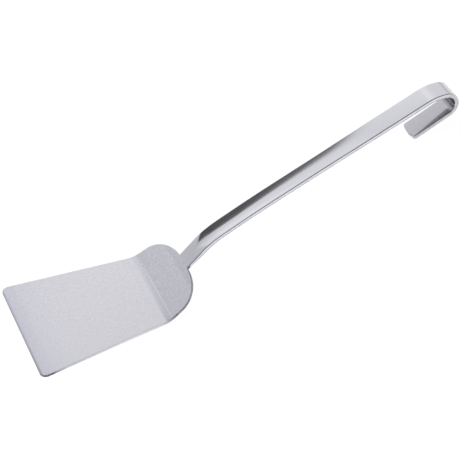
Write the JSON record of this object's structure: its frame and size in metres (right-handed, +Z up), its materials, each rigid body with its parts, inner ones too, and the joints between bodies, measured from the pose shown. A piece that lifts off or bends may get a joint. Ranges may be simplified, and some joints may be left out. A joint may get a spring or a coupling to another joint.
{
  "type": "kitchen turner",
  "caption": "Plain steel kitchen turner: trapezoid blade turned up at the heel, welded to a flat strip handle with a pressed channel and a hanging hook at its end.",
  "frame": {"origin": "middle of the box on the table: the turner lies as it rests by itself, on the round of its heel and the tip of its hook", "axes": "+X from the blade's front edge to the hook, +Y across to the tool's left when the blade points away, +Z up from the table"},
  "size_m": [0.3526, 0.0974, 0.0317],
  "materials": {
    "satin_blade": "fine satin stainless steel",
    "brushed_handle": "stainless steel brushed lengthwise",
    "weld_bead": "blasted stainless weld"
  },
  "bodies": {
    "root": {"blade": "satin_blade", "handle": "brushed_handle", "neck_weld": "weld_bead"}
  },
  "joints": []
}
